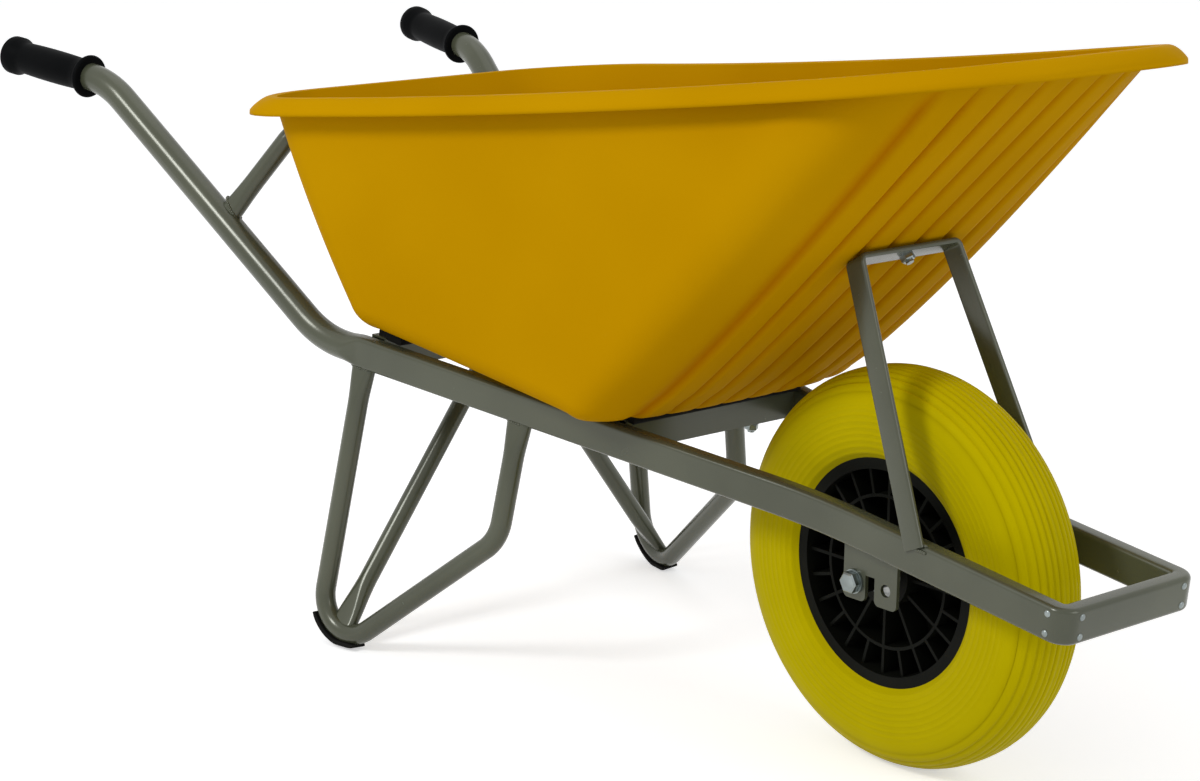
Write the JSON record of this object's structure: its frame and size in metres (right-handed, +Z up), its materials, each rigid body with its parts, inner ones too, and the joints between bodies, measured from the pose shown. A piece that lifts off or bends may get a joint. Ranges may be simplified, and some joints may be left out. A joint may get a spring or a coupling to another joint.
{
  "type": "wheelbarrow",
  "caption": "Wheelbarrow with a tapered moulded tray on a bent tube frame, splayed leg loops, rubber grips and a puncture-proof front wheel on a fixed axle.",
  "frame": {"origin": "on the ground under the middle of the overall length, on the middle plane", "axes": "+X forward to the wheel, +Y to the left when pushing, +Z up"},
  "size_m": [1.5028, 0.6444, 0.731],
  "materials": {
    "tray_plastic": "moulded ochre plastic with a soft sheen",
    "frame_paint": "satin grey-green coat on steel tube",
    "zinc": "bright zinc plate",
    "pad_rubber": "black rubber strip",
    "grip_rubber": "black moulded grip",
    "bearing_steel": "ground steel with dark shields",
    "rim_plastic": "black moulded plastic",
    "tyre_foam": "yellow-olive foam tyre, matt"
  },
  "bodies": {
    "frame": {"tray": "tray_plastic", "rail_left": "frame_paint", "rail_right": "frame_paint", "front_bar": "frame_paint", "corner_left": "frame_paint", "corner_right": "frame_paint", "corner_rivets": "zinc", "front_bracket": "frame_paint", "bracket_bolt": "zinc", "rear_hoop": "frame_paint", "hoop_bolts": "zinc", "floor_bolts": "zinc", "tray_nuts": "zinc", "front_cross_tube": "frame_paint", "rear_cross_tube": "frame_paint", "front_pad": "pad_rubber", "rear_pad": "pad_rubber", "leg_left": "frame_paint", "leg_right": "frame_paint", "shoe_left": "frame_paint", "shoe_right": "frame_paint", "brace_left": "frame_paint", "brace_right": "frame_paint", "grip_left": "grip_rubber", "grip_right": "grip_rubber", "axle_plate_left": "frame_paint", "axle_plate_right": "frame_paint", "axle": "zinc", "axle_bolts": "zinc", "axle_washers": "zinc", "spacer_left": "zinc", "spacer_right": "zinc"},
    "wheel": {"tyre": "tyre_foam", "rim": "rim_plastic", "bearing_left": "bearing_steel", "bearing_right": "bearing_steel"}
  },
  "joints": [
    {"name": "wheel_spin", "type": "hinge", "parent": "frame", "child": "wheel", "pos_m": [0.46529, 0, 0.2], "axis": [0, 1, 0], "continuous": true}
  ]
}
